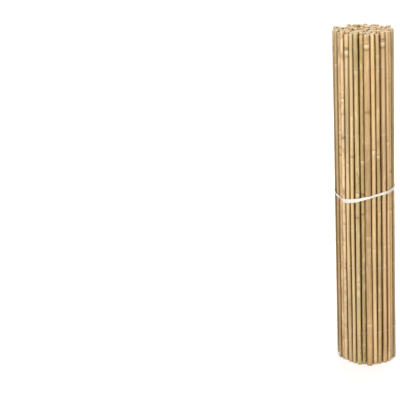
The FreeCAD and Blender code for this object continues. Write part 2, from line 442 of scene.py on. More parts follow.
@dataclass
class Screen:
    """The whole screen of canes, read from the solids of the frame."""

    nodes: dict[str, Piece]
    outer: str = "canes_turn_1"
    seam_bearing: float = math.radians(154.85)
    # Painted shade on the inner turns: their skins are darkened and browned by this colour, more so away from
    # the cut ends.
    inner_shade: Colour = (0.78, 0.55, 0.19)
    inner_crook: float = 0.12 * MM
    # What is left to chance: the highest joint, the way from joint to joint and how much that
    # varies, how strongly joints show and swell, freckles, and the second tone of a cane.
    highest: Range = (0.68, 0.985)
    spacing: Range = (0.27, 0.36)
    uneven: Range = (0.92, 1.08)
    strength: Range = (0.3, 0.9)
    stronger: Range = (0.85, 1.15)
    swell: Range = (0.75, 1.15)
    freckles: Range = (0.2, 0.9)
    second_tone: Range = (0, 0.5)
    # The least way from the lowest joint to the foot, and from the highest to the top.
    foot_room: float = 20 * MM
    top_room: float = 12 * MM
    turns: dict[str, list[Cane]] = field(default_factory=dict)

    def islands(self, node: Piece) -> list[np.ndarray]:
        """The separate solids of a node.

        Args:
            node: the node's object.

        Returns:
            The corner points of each solid.
        """
        spots = points_of(node)
        _, same = np.unique(np.round(spots, 6), axis=0, return_inverse=True)
        same = same.reshape(-1)
        parent = list(range(int(same.max()) + 1))

        def root(n: int) -> int:
            """Follows a point to the first one of its solid.

            Args:
                n: the point.

            Returns:
                The first point.
            """
            while parent[n] != n:
                parent[n] = parent[parent[n]]
                n = parent[n]
            return n

        for face in node.data.polygons:
            corners = [root(int(same[v])) for v in face.vertices]
            for corner in corners[1:]:
                parent[root(corner)] = root(corners[0])
        roots = np.array([root(int(n)) for n in same])
        return [spots[roots == n] for n in np.unique(roots)]

    def read(self) -> None:
        """Fills the turns with canes, each turn in the order in which its canes follow each other."""
        number = 0
        for name in sorted(n for n in self.nodes if n.startswith("canes_turn_")):
            canes = []
            for spots in self.islands(self.nodes[name]):
                low, high = spots.min(0), spots.max(0)
                centre = Vector(((low[0] + high[0]) / 2, (low[1] + high[1]) / 2, 0))
                radius = float(high[0] - low[0]) / 2
                canes.append((centre, radius, float(low[2]), float(high[2])))
            canes.sort(key=lambda c: (math.atan2(c[0].y, c[0].x) - self.seam_bearing) % TAU)
            shown = name == self.outer
            self.turns[name] = []
            for place, solid in enumerate(canes):
                cane = Cane(*solid, number)
                self.grow(cane, KNOWN_CANES.get(place) if shown else None, shown)
                self.turns[name].append(cane)
                number += 1

    def grow(self, cane: Cane, known: FrontCane | None, shown: bool) -> None:
        """Gives a cane its tone and its joints.

        Args:
            cane: the cane.
            known: what is known of it, if anything.
            shown: whether it lies in the outer turn.
        """
        chance = cane.chance
        tones = [tone for tone in Tone if tone is not Tone.OLIVE]
        first, second = chance.choice(len(tones), 2)
        blend = chance.uniform(*self.second_tone)
        tone = np.array(tones[first].value) * (1 - blend) + np.array(tones[second].value) * blend
        joints = [(float(chance.uniform(*self.highest)), float(chance.uniform(*self.strength)))]
        cane.freckled = float(chance.uniform(*self.freckles))
        cane.flank_shade = 0.2 * cane.freckled
        cane.grows_up = bool(chance.random() < 0.5)
        if known:
            tone, joints = np.array(known.tone.value), sorted(known.joints)
            cane.freckled, cane.flank_shade, cane.smudges = known.freckled, known.flank_shade, known.smudges
            cane.grows_up, cane.aside = True, known.aside * MM
        elif shown:
            cane.smudges = tuple(float(v) for v in chance.uniform(0.05, 0.95, 2))
        if not shown:
            cane.shade, cane.crook = self.inner_shade, self.inner_crook
        cane.tone = tuple(float(v) for v in tone)
        usual = 0.6 * float(np.mean([shown for _, shown in joints]))
        spacing = float(chance.uniform(*self.spacing))
        while joints[0][0] - spacing > cane.foot + self.foot_room:
            joints.insert(0, (joints[0][0] - spacing * float(chance.uniform(*self.uneven)), usual))
        while joints[-1][0] + spacing < cane.top - self.top_room:
            joints.append((joints[-1][0] + spacing, usual))
        for height, strength in joints:
            swell = float(chance.uniform(*self.swell))
            cane.joints.append(Joint(height, swell, strength * float(chance.uniform(*self.stronger))))


class NodeSheet:
    """A node tree, with short ways to add nodes and join their sockets."""

    def __init__(self, tree: Tree) -> None:
        """Keeps the tree that the nodes go into."""
        self.tree = tree

    def add(self, kind: str, inputs: dict[str | int, object] | None = None, **settings: object) -> Node:
        """Adds a node.

        Args:
            kind: the node's type.
            inputs: for each input, by name or place, the socket it is joined to or its value.
            settings: the node's own properties.

        Returns:
            The node.
        """
        node = self.tree.nodes.new(kind)
        for name, value in settings.items():
            setattr(node, name, value)
        for name, value in (inputs or {}).items():
            if isinstance(name, int):
                socket = node.inputs[name]
            else:
                socket = next(s for s in node.inputs if s.name == name and s.enabled)
            if isinstance(value, Socket):
                self.tree.links.new(value, socket)
            elif isinstance(value, tuple) and socket.type == "RGBA":
                socket.default_value = (*value, 1.0)
            else:
                socket.default_value = value
        return node

    def get(
        self,
        kind: str,
        inputs: dict[str | int, object] | None = None,
        wanted: str | int = 0,
        **settings: object,
    ) -> Socket:
        """Adds a node and gives one of its outputs.

        Args:
            kind: the node's type.
            inputs: what its inputs are joined or set to.
            wanted: the name of the output, or its place among those in use.
            settings: the node's own properties.

        Returns:
            The output.
        """
        live = [s for s in self.add(kind, inputs, **settings).outputs if s.enabled]
        return live[wanted] if isinstance(wanted, int) else next(s for s in live if s.name == wanted)

    def maths(self, operation: str, *values: object) -> Socket:
        """The result of a sum on numbers or sockets."""
        return self.get("ShaderNodeMath", dict(enumerate(values)), operation=operation)

    def chain(self, operation: str, values: tuple[object, ...]) -> Socket:
        """Does one sum after another, from the first value to the last.

        Args:
            operation: the kind of sum.
            values: numbers or sockets.

        Returns:
            The socket of the result.
        """
        total = values[0]
        for value in values[1:]:
            total = self.maths(operation, total, value)
        return total

    def plus(self, *values: object) -> Socket:
        """The sum of numbers or sockets."""
        return self.chain("ADD", values)

    def less(self, *values: object) -> Socket:
        """The first number or socket less the others."""
        return self.chain("SUBTRACT", values)

    def times(self, *values: object) -> Socket:
        """The product of numbers or sockets."""
        return self.chain("MULTIPLY", values)

    def vector(self, operation: str, *values: object) -> Socket:
        """The result of a sum on vectors."""
        return self.get("ShaderNodeVectorMath", dict(enumerate(values)), operation=operation)

    def scaled(self, vector: Socket, size: Socket) -> Socket:
        """A vector made longer or shorter."""
        return self.get("ShaderNodeVectorMath", {0: vector, 3: size}, operation="SCALE")

    def xyz(self, **parts: Socket) -> Socket:
        """A vector from its parts X, Y and Z, of which those not given are 0."""
        return self.get("ShaderNodeCombineXYZ", parts)

    def split(self, vector: Socket) -> list[Socket]:
        """The parts X, Y and Z of a vector."""
        return list(self.add("ShaderNodeSeparateXYZ", {0: vector}).outputs)

    def ramp(self, value: Socket, low: object, high: object, start: float = 0.0, end: float = 1.0) -> Socket:
        """A value spread from one range to another, kept within it.

        Args:
            value: the socket that is spread.
            low, high: the range it comes from.
            start, end: the range it goes to.

        Returns:
            The socket of the result.
        """
        inputs = {"Value": value, "From Min": low, "From Max": high, "To Min": start, "To Max": end}
        return self.get("ShaderNodeMapRange", inputs, clamp=True)

    def mix(self, share: Socket, first: object, second: object) -> Socket:
        """Two colours mixed by a share."""
        inputs = {"Factor": share, "A": first, "B": second}
        return self.get("ShaderNodeMix", inputs, "Result", data_type="RGBA")

    def noise(self, place: Socket, scale: object, detail: float = 3.0, roughness: float = 0.55) -> Socket:
        """Soft chance over a surface, about 0 to 1.

        Args:
            place: where on the surface.
            scale: how fine it is: a number, or a vector where it differs along each axis.
            detail, roughness: how many finer layers it has, and how strong they are.

        Returns:
            The socket of the result.
        """
        if not isinstance(scale, float):
            place, scale = self.vector("MULTIPLY", place, scale), 1.0
        inputs = {"Vector": place, "Scale": scale, "Detail": detail, "Roughness": roughness}
        return self.get("ShaderNodeTexNoise", inputs, "Fac")

    def cells(self, place: Socket, scale: float, randomness: float = 1.0) -> Socket:
        """The distance to the middle of the nearest of many small cells."""
        inputs = {"Vector": place, "Scale": scale, "Randomness": randomness}
        return self.get("ShaderNodeTexVoronoi", inputs, "Distance")

    def bump(self, height: Socket, strength: float, distance: float) -> Socket:
        """The way a surface looks when it is raised by a height."""
        return self.get("ShaderNodeBump", {"Height": height, "Strength": strength, "Distance": distance})

    def carried(self, name: str, wanted: str = "Vector") -> Socket:
        """A value that the mesh carries, for a material."""
        return self.get("ShaderNodeAttribute", None, wanted, attribute_name=name, attribute_type="GEOMETRY")

    def named(self, name: str, kind: str = NUMBER) -> Socket:
        """A value that the mesh carries, for a rule of shapes."""
        return self.get("GeometryNodeInputNamedAttribute", {"Name": name}, "Attribute", data_type=kind)

    def group(self, tree: Tree, **inputs: object) -> list[Socket]:
        """Places a group of nodes, and gives its outputs."""
        inputs = {name.replace("_", " "): value for name, value in inputs.items()}
        return list(self.add("ShaderNodeGroup", inputs, node_tree=tree).outputs)


def new_tree(
    kind: str, name: str, takes: dict[str, str], gives: dict[str, str]
) -> tuple[NodeSheet, dict[str, Socket]]:
    """A node tree with its sockets.

    Args:
        kind: Geometry or Shader.
        name: the tree's name.
        takes: the type of each input.
        gives: the type of each output.

    Returns:
        A sheet to write on, and the socket that each input comes out of.
    """
    tree = bpy.data.node_groups.new(name, f"{kind}NodeTree")
    for way, sockets in (("INPUT", takes), ("OUTPUT", gives)):
        for label, sort in sockets.items():
            tree.interface.new_socket(label, in_out=way, socket_type=f"NodeSocket{sort}")
    sheet = NodeSheet(tree)
    given = sheet.add("NodeGroupInput")
    return sheet, {label: given.outputs[label] for label in takes}


def put(name: str, data: bpy.types.ID) -> Piece:
    """Puts a new object in the scene.

    Args:
        name: its name.
        data: its mesh, light or camera.

    Returns:
        The object.
    """
    piece = bpy.data.objects.new(name, data)
    bpy.context.scene.collection.objects.link(piece)
    return piece


def shaped_by(
    name: str,
    tree: Tree,
    inputs: dict[str, object],
    spots: np.ndarray,
    edges: list[tuple[int, int]],
    values: dict[str, np.ndarray],
) -> Piece:
    """A piece with the plain mesh that a rule makes from points or lines.

    Args:
        name: the piece's name.
        tree: the rule, a Geometry Nodes tree.
        inputs: what its named inputs are set to.
        spots: the points.
        edges: pairs of points that a line joins.
        values: for each name, a number or a vector that each point carries.

    Returns:
        The piece, with no modifier left on it.
    """
    guide = bpy.data.meshes.new(f"{name}_guide")
    guide.from_pydata([tuple(p) for p in spots], edges, [])
    for label, rows in values.items():
        flat = rows.ndim == 1
        attribute = guide.attributes.new(label, NUMBER if flat else VECTOR, "POINT")
        attribute.data.foreach_set("value" if flat else "vector", rows.astype(np.float32).ravel())
    piece = put(name, guide)
    modifier = piece.modifiers.new("rule", "NODES")
    modifier.node_group = tree
    sockets = {item.name: item for item in tree.interface.items_tree if item.in_out == "INPUT"}
    for label, value in inputs.items():
        modifier[sockets[label].identifier] = value
    graph = bpy.context.evaluated_depsgraph_get()
    piece.data = bpy.data.meshes.new_from_object(piece.evaluated_get(graph), depsgraph=graph)
    piece.modifiers.clear()
    piece.data.name = name
    bpy.data.meshes.remove(guide)
    return piece


def cane_tree() -> Tree:
    """The rule that turns rings into canes: each ring is a circle, joined to the next of its cane.

    Returns:
        The tree.
    """
    takes = {"Geometry": "Geometry", "Sides": "Int", "Rings a Cane": "Int"}
    takes |= {part.name.title(): "Material" for part in Zone}
    sheet, given = new_tree("Geometry", "canes_from_rings", takes, {"Geometry": "Geometry"})
    rings, sides = given["Geometry"], given["Sides"]
    count = sheet.get("GeometryNodeAttributeDomainSize", {"Geometry": rings}, "Point Count", component="MESH")
    across = sheet.plus(sides, 1.0)
    index = sheet.get("GeometryNodeInputIndex")
    centred = sheet.plus(index, 0.5)
    ring = sheet.maths("FLOOR", sheet.maths("DIVIDE", centred, across))
    side = sheet.less(index, sheet.times(ring, across))
    face_ring = sheet.maths("FLOOR", sheet.maths("DIVIDE", centred, sides))
    turn = sheet.times(side, sheet.maths("DIVIDE", TAU, sides))

    def sampled(name: str, kind: str = NUMBER, at: Socket = ring) -> Socket:
        """A named value of the rings, read at a ring's number."""
        inputs = {"Geometry": rings, "Value": sheet.named(name, kind), "Index": at}
        return sheet.get("GeometryNodeSampleIndex", inputs, "Value", data_type=kind, domain="POINT")

    def facing(name: str) -> Socket:
        """How far a point looks to a bearing of its ring: 1 straight to it, -1 straight away."""
        return sheet.maths("COSINE", sheet.less(turn, sampled(name)))

    middle = sampled("position", VECTOR)
    to_bud = sheet.maths("MAXIMUM", facing("bud_side"), 0.0)
    raised = sheet.times(sampled("bud"), sheet.maths("POWER", to_bud, 14.0))
    sunk = sheet.times(sampled("groove"), sheet.maths("POWER", to_bud, 4.0))
    radius = sheet.less(sheet.plus(sampled("reach"), raised), sunk)
    arm = sheet.scaled(sheet.xyz(X=sheet.maths("COSINE", turn), Y=sheet.maths("SINE", turn)), radius)
    lift = sheet.times(sheet.less(1.0, facing("cut_side")), radius, sampled("slant"))
    spot = sheet.vector("ADD", sheet.vector("ADD", middle, arm), sheet.xyz(Z=lift))
    own_place = sheet.vector("ADD", arm, sampled("own_place", VECTOR))
    own_place = sheet.vector("ADD", own_place, sheet.xyz(Z=sheet.split(middle)[2]))
    to_next = sheet.maths("FLOORED_MODULO", sheet.plus(face_ring, 1.0), given["Rings a Cane"])

    shape = sheet.get("GeometryNodeMeshGrid", {"Vertices X": count, "Vertices Y": across}, "Mesh")
    for name, kind, domain, value in (
        ("zone", NUMBER, "FACE", sampled("zone", at=face_ring)),
        ("between", NUMBER, "FACE", sheet.maths("COMPARE", to_next, 0.0, 0.25)),
        ("cane_place", VECTOR, "POINT", own_place),
        ("tone", VECTOR, "POINT", sampled("tone", VECTOR)),
        ("marks", VECTOR, "POINT", sampled("marks", VECTOR)),
        ("habit", VECTOR, "POINT", sampled("habit", VECTOR)),
        # How far a point looks out of the roll, less the cane's reach of painted shade; the skin paints shade
        # between the canes from it.
        ("outward", NUMBER, "POINT", sheet.less(facing("out_side"), sampled("flank_shade"))),
    ):
        inputs = {"Geometry": shape, "Name": name, "Value": value}
        shape = sheet.get("GeometryNodeStoreNamedAttribute", inputs, data_type=kind, domain=domain)
    shape = sheet.get("GeometryNodeSetPosition", {"Geometry": shape, "Position": spot})
    gone = sheet.maths("GREATER_THAN", sheet.named("between"), 0.5)
    inputs = {"Geometry": shape, "Selection": gone}
    shape = sheet.get("GeometryNodeDeleteGeometry", inputs, domain="FACE", mode="ALL")
    shape = sheet.get("GeometryNodeMergeByDistance", {"Geometry": shape, "Distance": 1e-6})
    shape = sheet.get("GeometryNodeFlipFaces", {"Mesh": shape})
    parts = {part: sheet.maths("COMPARE", sheet.named("zone"), float(part.value), 0.25) for part in Zone}
    inputs = {"Geometry": shape, "Shade Smooth": sheet.less(1.0, parts[Zone.CUT])}
    shape = sheet.get("GeometryNodeSetShadeSmooth", inputs, domain="FACE")
    shape = sheet.get("GeometryNodeRealizeInstances", {"Geometry": shape})
    for part, chosen in parts.items():
        inputs = {"Geometry": shape, "Selection": chosen, "Material": given[part.name.title()]}
        shape = sheet.get("GeometryNodeSetMaterial", inputs)
    sheet.add("NodeGroupOutput", {"Geometry": shape})
    return sheet.tree


@dataclass
class TurnOfCanes:
    """One turn of the roll, as one piece. The outer turn has more sides and rings than the others."""

    name: str
    canes: list[Cane]
    tree: Tree
    finishes: dict[Zone, Material]
    shown: bool
    sides_shown: int = 20
    sides_inside: int = 12
    rings_shown: int = 70
    rings_inside: int = 34
    # Rings of a cane that aren't on its skin, six at each end.
    rings_off_skin: int = 12

    def build(self) -> Piece:
        """Makes the piece and hangs it on the frame.

        Returns:
            The piece.
        """
        rings = self.rings_shown if self.shown else self.rings_inside
        rows = [cane.rings(rings, self.shown) for cane in self.canes]
        values = {name: np.concatenate([row[name] for row in rows]) for name in rows[0]}
        inputs = {part.name.title(): material for part, material in self.finishes.items()}
        inputs["Sides"] = self.sides_shown if self.shown else self.sides_inside
        inputs["Rings a Cane"] = rings + self.rings_off_skin
        piece = shaped_by(f"{self.name}_dressed", self.tree, inputs, values.pop("position"), [], values)
        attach(piece, "root")
        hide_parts(self.name)
        return piece


# Wire.


def wire_tree() -> Tree:
    """The rule that draws round wire along lines.

    Returns:
        The tree.
    """
    takes = {"Geometry": "Geometry", "Radius": "Float", "Corners": "Int", "Finish": "Material"}
    sheet, given = new_tree("Geometry", "wire_along_lines", takes, {"Geometry": "Geometry"})
    line = sheet.get("GeometryNodeMeshToCurve", {"Mesh": given["Geometry"]})
    inputs = {"Resolution": given["Corners"], "Radius": given["Radius"]}
    ring = sheet.get("GeometryNodeCurvePrimitiveCircle", inputs, mode="RADIUS")
    inputs = {"Curve": line, "Profile Curve": ring, "Fill Caps": True}
    shape = sheet.get("GeometryNodeCurveToMesh", inputs)
    shape = sheet.get("GeometryNodeSetShadeSmooth", {"Geometry": shape, "Shade Smooth": True}, domain="FACE")
    shape = sheet.get("GeometryNodeRealizeInstances", {"Geometry": shape})
    shape = sheet.get("GeometryNodeSetMaterial", {"Geometry": shape, "Material": given["Finish"]})
    sheet.add("NodeGroupOutput", {"Geometry": shape})
    return sheet.tree


@dataclass
class LacingRow:
    """A row of two wires that hold the canes: round each cane on both sides, twisted in every gap."""

    node: str
    canes: list[Cane]
    tree: Tree
    finish: Material
    radius: float = 0.3 * MM
    corners: int = 6
    grip: float = 0.05 * MM
    spread: float = 1.08
    # The twist fills this share of a gap, in this many half turns.
    gap_share: float = 0.64
    half_turns: int = 3
    # The tail beyond the last cane starts a little off its skin.
    tail_start: float = 0.9 * MM
    tail: float = 6 * MM
    tail_turns: int = 5
    # Points to each half turn of the twist, and to the arc on a cane, which starts and ends a
    # little way from the line to the next cane.
    twist_points: int = 4
    arc_points: int = 9
    arc_lean: float = 0.3

    def stations(self) -> list[tuple[np.ndarray, float]]:
        """Where the laced canes stand at the row's level.

        Returns:
            The centre and the radius of the skin of each.
        """
        low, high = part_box(self.node)
        level = np.array([(low.z + high.z) / 2])
        return [(cane.axis_at(level)[0], float(cane.girth_at(level)[0])) for cane in self.canes]

    def strand(self, side: int) -> list[np.ndarray]:
        """The line of one wire.

        Args:
            side: 1 where it passes the first cane on the left of the way, or -1.

        Returns:
            Its points.
        """
        places = self.stations()
        points = []
        for n, (centre, girth) in enumerate(places):
            last = n + 1 == len(places)
            ahead = centre - places[n - 1][0] if last else places[n + 1][0] - centre
            behind = centre - places[n - 1][0] if n else ahead
            gap = 0.0 if last else np.linalg.norm(ahead) - girth - places[n + 1][1]
            ahead, behind = unit(ahead), unit(behind)
            points += self.round_cane(centre, girth + self.radius + self.grip, behind, ahead, side)
            if last:
                start, length, turns = self.tail_start, self.tail - self.tail_start, self.tail_turns
            else:
                start, length, turns = gap * (1 - self.gap_share) / 2, gap * self.gap_share, self.half_turns
            left = np.cross(UP, ahead)
            steps = self.twist_points * turns
            for step in range(steps + 1):
                angle = math.pi * turns * step / steps
                offset = (left * math.cos(angle) + UP * math.sin(angle)) * side * self.radius * self.spread
                points.append(centre + ahead * (girth + start + length * step / steps) + offset)
            if turns % 2:
                side = -side
        return points

    def round_cane(
        self, centre: np.ndarray, reach: float, behind: np.ndarray, ahead: np.ndarray, side: int
    ) -> list[np.ndarray]:
        """The part of a wire that lies on a cane.

        Args:
            centre: the middle of the cane.
            reach: how far the wire's middle is from it.
            behind, ahead: the way to this cane and the way on from it.
            side: 1 for the left of the way, or -1.

        Returns:
            Points on the arc.
        """
        start = math.atan2(-behind[1], -behind[0])
        end = math.atan2(ahead[1], ahead[0])
        sweep = (start - end) * side % TAU
        lean = self.arc_lean
        angles = np.linspace(start - side * lean, start - side * (sweep - lean), self.arc_points)
        return [centre + reach * np.array([math.cos(a), math.sin(a), 0.0]) for a in angles]

    def build(self) -> Piece:
        """Makes the row of wires and hangs it on the frame.

        Returns:
            The piece.
        """
        spots, edges = [], []
        for side in (1, -1):
            line = self.strand(side)
            edges += [(len(spots) + n, len(spots) + n + 1) for n in range(len(line) - 1)]
            spots += line
        inputs = {"Radius": self.radius, "Corners": self.corners, "Finish": self.finish}
        piece = shaped_by(f"{self.node}_twisted", self.tree, inputs, np.array(spots), edges, {})
        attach(piece, "root")
        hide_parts(self.node)
        return piece


# Strap.


@dataclass(frozen=True)
class LooseEnd:
    """An end of the tape below the knot, in millimetres: its drop, its drift aside and its width."""

    drop: float
    drift: float
    width: float


@dataclass
class TieStrap:
    """The flat white tape that ties the roll, with its creases, its twist and its knot."""

    canes: list[Cane]
    finish: Material
    solid: Piece
    node: str = "tie_strap"
    thickness: float = 0.34 * MM
    clear: float = 0.12 * MM
    step: float = 2.2 * MM
    # Points across one face of the tape, and on each cane that the tape may lie on.
    across: int = 10
    cane_points: int = 72
    # Round the roll by bearing in degrees: the tape's width and rise in millimetres, and its lean.
    round_way: Row = (
        -24, 0, 30, 47, 64, 110, 150, 174, 188, 196, 202, 204.5, 216, 232, 243, 252, 265, 282, 304, 322, 336
    )
    widths: Row = (
        11, 10, 8, 4.6, 8, 10, 10.5, 9.5, 9, 7.6, 5.2, 11.8, 12, 11.6, 10.4, 8.8, 7.6, 7.6, 8.4, 10, 11.4
    )
    rises: Row = (
        -3, -1, 1, 1.5, 1, 0, 1, 2, 0, -3.5, -7, -9.6, -10.4, -7, -4.4, -2.4, 1.4, 1.2, 0, -2.4, -3.6
    )
    leans: Row = (0, 0, 0, 0, 0, 0.1, 0, 0.1, 0.2, 0.4, 0.6, 0.05, 0, 0, 0.05, 0.1, 0.2, 0.15, 0.1, 0, 0)
    knot_bearing: float = math.radians(47)
    # How much the width of the tape wavers, and how often round the roll.
    waver: float = 0.03
    wavers: int = 17
    # The wrap of the knot in millimetres: how far off the tape it is, how far it reaches up and
    # out from there, how wide its own tape is, how that leans, and how many points it has.
    knot_off: float = 1.5
    knot_up: float = 4.6
    knot_out: float = 1.9
    knot_width: float = 6.2
    knot_lean: float = 0.35
    knot_points: int = 40
    # The loose ends: how they bend down, how far they stand off at the knot and below it, how
    # wide they are at the knot, how their faces splay and twist, and how many points they have.
    ends: tuple[LooseEnd, ...] = (LooseEnd(-34, 9, 8.6), LooseEnd(-21, -15, 7.8))
    end_bend: float = 1.25
    end_off: Range = (1.2, 2.4)
    end_widths: Range = (4.2, 6.0)
    end_splay: float = 0.35
    end_twist: Row = (0.0, 0.15, 0.55)
    end_points: int = 22

    def __post_init__(self) -> None:
        """Finds the slanted plane of the solid strap: its rise along x and y, and its level."""
        spots = np.unique(np.round(points_of(self.solid), 6), axis=0)
        sides = np.column_stack([spots[:, :2], np.ones(len(spots))])
        self.slant = np.linalg.lstsq(sides, spots[:, 2], rcond=None)[0]

    def along(self, row: Row, bearings: np.ndarray) -> np.ndarray:
        """A row's value at some bearings, in radians."""
        return np.interp(np.degrees(bearings), self.round_way, row, period=360)

    def outline(self) -> np.ndarray:
        """The line of the tape seen from above, round the outermost canes.

        Returns:
            Evenly spaced points, anticlockwise.
        """
        spots = []
        for cane in self.canes:
            level = np.array([self.slant[:2] @ np.array(cane.centre[:2]) + self.slant[2]])
            centre = cane.axis_at(level)[0]
            reach = float(cane.girth_at(level)[0]) + self.clear + self.thickness / 2
            for angle in np.arange(self.cane_points) * TAU / self.cane_points:
                spots.append((centre[0] + reach * math.cos(angle), centre[1] + reach * math.sin(angle)))
        hull = [spots[n] for n in convex_hull_2d(spots)]
        start = hull.index(min(hull))
        loop = np.array(hull[start:] + hull[: start + 1])
        gone = gone_along(loop)
        count = int(gone[-1] / self.step)
        at = np.arange(count) * gone[-1] / count
        return np.stack([np.interp(at, gone, loop[:, 0]), np.interp(at, gone, loop[:, 1])], 1)

    def creases(self, share: float, gone: float, phases: np.ndarray) -> float:
        """How far the creases raise the tape.

        Args:
            share: the place across the tape, from -0.5 to 0.5.
            gone: the distance along it.
            phases: where the waves of the creases start.

        Returns:
            The height, in metres.
        """
        crease = 0.16 * math.sin(share * 19 + phases[0] + 0.9 * math.sin(gone * 61 + phases[1]))
        crease += 0.10 * math.sin(share * 37 + phases[2] + gone * 45)
        crease += 0.08 * math.sin(gone * 420 + share * 6 + phases[3])
        return max(crease + 0.1, 0.0) * MM

    def tape(
        self,
        name: str,
        line: np.ndarray,
        outs: np.ndarray,
        widths: np.ndarray,
        leans: np.ndarray,
        closed: bool = True,
        flutes: float = 1.0,
    ) -> Piece:
        """A flat tape along a line.

        Args:
            name: the piece's name.
            line: the points of its middle.
            outs: the way its face looks at each point.
            widths: its width at each point.
            leans: how far it is turned about its line at each point.
            closed: whether it is a ring.
            flutes: how deep its creases are.

        Returns:
            The piece, with a map of metres along and across on it.
        """
        count = len(line)
        ways = np.roll(line, -1, 0) - np.roll(line, 1, 0)
        if not closed:
            ways[0], ways[-1] = line[1] - line[0], line[-1] - line[-2]
        ways = unit(ways)
        gone = gone_along(line)
        phases = np.random.default_rng(CREASE_SEED).uniform(0, TAU, 4)
        corners, places = [], []
        for n, way in enumerate(ways):
            out = unit(outs[n] - way * np.dot(outs[n], way))
            rise = np.cross(way, out)
            looks = out * math.cos(leans[n]) + rise * math.sin(leans[n])
            aside = rise * math.cos(leans[n]) - out * math.sin(leans[n])
            upper, lower, place = [], [], []
            for share in np.linspace(-0.5, 0.5, self.across):
                across, height = share * widths[n], self.creases(share, gone[n], phases) * flutes
                upper.append(line[n] + aside * across + looks * (height + self.thickness / 2))
                lower.append(line[n] + aside * across + looks * (height - self.thickness / 2))
                place.append((gone[n], across))
            corners += upper + lower[::-1]
            places.append(place + place[::-1])
        around = 2 * self.across
        faces, maps = [], []
        length = gone[-1] + (np.linalg.norm(line[0] - line[-1]) if closed else 0)
        for n in range(count if closed else count - 1):
            m = (n + 1) % count
            far = length if closed and m == 0 else gone[m]
            for k in range(around):
                j = (k + 1) % around
                faces.append((n * around + k, m * around + k, m * around + j, n * around + j))
                maps.append([places[n][k], (far, places[m][k][1]), (far, places[m][j][1]), places[n][j]])
        if not closed:
            faces += [tuple(range(around)), tuple((count - 1) * around + k for k in reversed(range(around)))]
            maps += [places[0], places[-1][::-1]]
        mesh = bpy.data.meshes.new(name)
        mesh.from_pydata([tuple(corner) for corner in corners], [], faces)
        flat = [value for face in maps for corner in face for value in corner]
        mesh.uv_layers.new(name="along").data.foreach_set("uv", flat)
        mesh.polygons.foreach_set("use_smooth", [True] * len(faces))
        mesh.materials.append(self.finish)
        self.face_outwards(mesh)
        return put(name, mesh)

    @staticmethod
    def face_outwards(mesh: bpy.types.Mesh) -> None:
        """Turns all faces of a closed mesh so that they look outwards.

        Args:
            mesh: the mesh.
        """
        volume = 0.0
        for face in mesh.polygons:
            first = mesh.vertices[face.vertices[0]].co
            for a, b in zip(face.vertices[1:-1], face.vertices[2:]):
                volume += first.dot(mesh.vertices[a].co.cross(mesh.vertices[b].co))
        if volume < 0:
            mesh.flip_normals()

    def build(self) -> list[Piece]:
        """Makes the ring of tape, its knot and its two ends.

        Returns:
            The pieces.
        """
        flat = self.outline()
        bearings = np.arctan2(flat[:, 1], flat[:, 0])
        ways = unit(np.roll(flat, -1, 0) - np.roll(flat, 1, 0))
        outs = np.stack([ways[:, 1], -ways[:, 0], np.zeros(len(flat))], 1)
        widths = self.along(self.widths, bearings) * MM * (1 + self.waver * np.sin(bearings * self.wavers))
        heights = flat @ self.slant[:2] + self.slant[2] + self.along(self.rises, bearings) * MM
        leans = self.along(self.leans, bearings)
        line = np.column_stack([flat, heights])
        line += outs * (np.abs(np.sin(leans)) * widths / 2)[:, None]
        ring = self.tape("tie_strap_tape", line, outs, widths, leans)
        at = int(np.argmin(np.abs((bearings - self.knot_bearing + math.pi) % TAU - math.pi)))
        pieces = [ring, *self.knot(line[at], outs[at])]
        for piece in pieces:
            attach(piece, "root")
        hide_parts(self.node)
        return pieces

    def knot(self, spot: np.ndarray, out: np.ndarray) -> list[Piece]:
        """The knot at the back of the roll.

        Args:
            spot: the place of the knot on the ring of tape.
            out: the way the tape looks there.

        Returns:
            The wrap of the knot and the two loose ends.
        """
        along = np.cross(UP, out)
        turns = np.linspace(0, TAU, self.knot_points, endpoint=False)
        ups, outs = np.cos(turns)[:, None] * UP, np.sin(turns)[:, None] * out
        wrap = spot + (out * self.knot_off + ups * self.knot_up + outs * self.knot_out) * MM
        faces = unit(ups / self.knot_up + outs / self.knot_out)
        widths = np.full(len(turns), self.knot_width * MM)
        leans = self.knot_lean * np.sin(turns + 0.6)
        pieces = [self.tape("tie_strap_knot", wrap, faces, widths, leans, flutes=1.6)]
        share = np.linspace(0, 1, self.end_points)
        for number, end in enumerate(self.ends):
            fall = end.drop * share**self.end_bend
            sideways = end.drift * np.sin(share * math.pi / 2)
            lift = self.end_off[0] + self.end_off[1] * np.sin(share * math.pi * 0.9)
            path = spot + (fall[:, None] * UP + sideways[:, None] * along + lift[:, None] * out) * MM
            looks = np.tile(out + self.end_splay * along * (number * 2 - 1), (len(share), 1))
            widths = np.interp(share, (0, 0.15, 0.5), (*self.end_widths, end.width)) * MM
            twist = np.interp(share, (0, 0.4, 1), self.end_twist) * (1 - 2 * number)
            pieces.append(self.tape(f"tie_strap_end_{number + 1}", path, looks, widths, twist, False, 1.2))
        return pieces


# Finishes.


@dataclass(frozen=True)
class Effects:
    """The groups of nodes that several finishes share."""

    fibres: Tree
    weather: Tree


def fibre_group() -> Tree:
    """Streaks that run the length of a cane, broad ones for colour and fine ones for relief.

    Returns:
        The group.
    """
    takes = {"Place": "Vector", "Fine Width": "Float", "Broad Width": "Float", "Stretch": "Float"}
    sheet, given = new_tree("Shader", "cane_fibres", takes, {"Fine": "Float", "Broad": "Float"})
    made = {}
    for label in ("Fine", "Broad"):
        flat = sheet.maths("DIVIDE", 1.0, given[f"{label} Width"])
        scale = sheet.xyz(X=flat, Y=flat, Z=sheet.maths("DIVIDE", flat, given["Stretch"]))
        made[label] = sheet.noise(given["Place"], scale, 3.0, 0.6)
    sheet.add("NodeGroupOutput", made)
    return sheet.tree


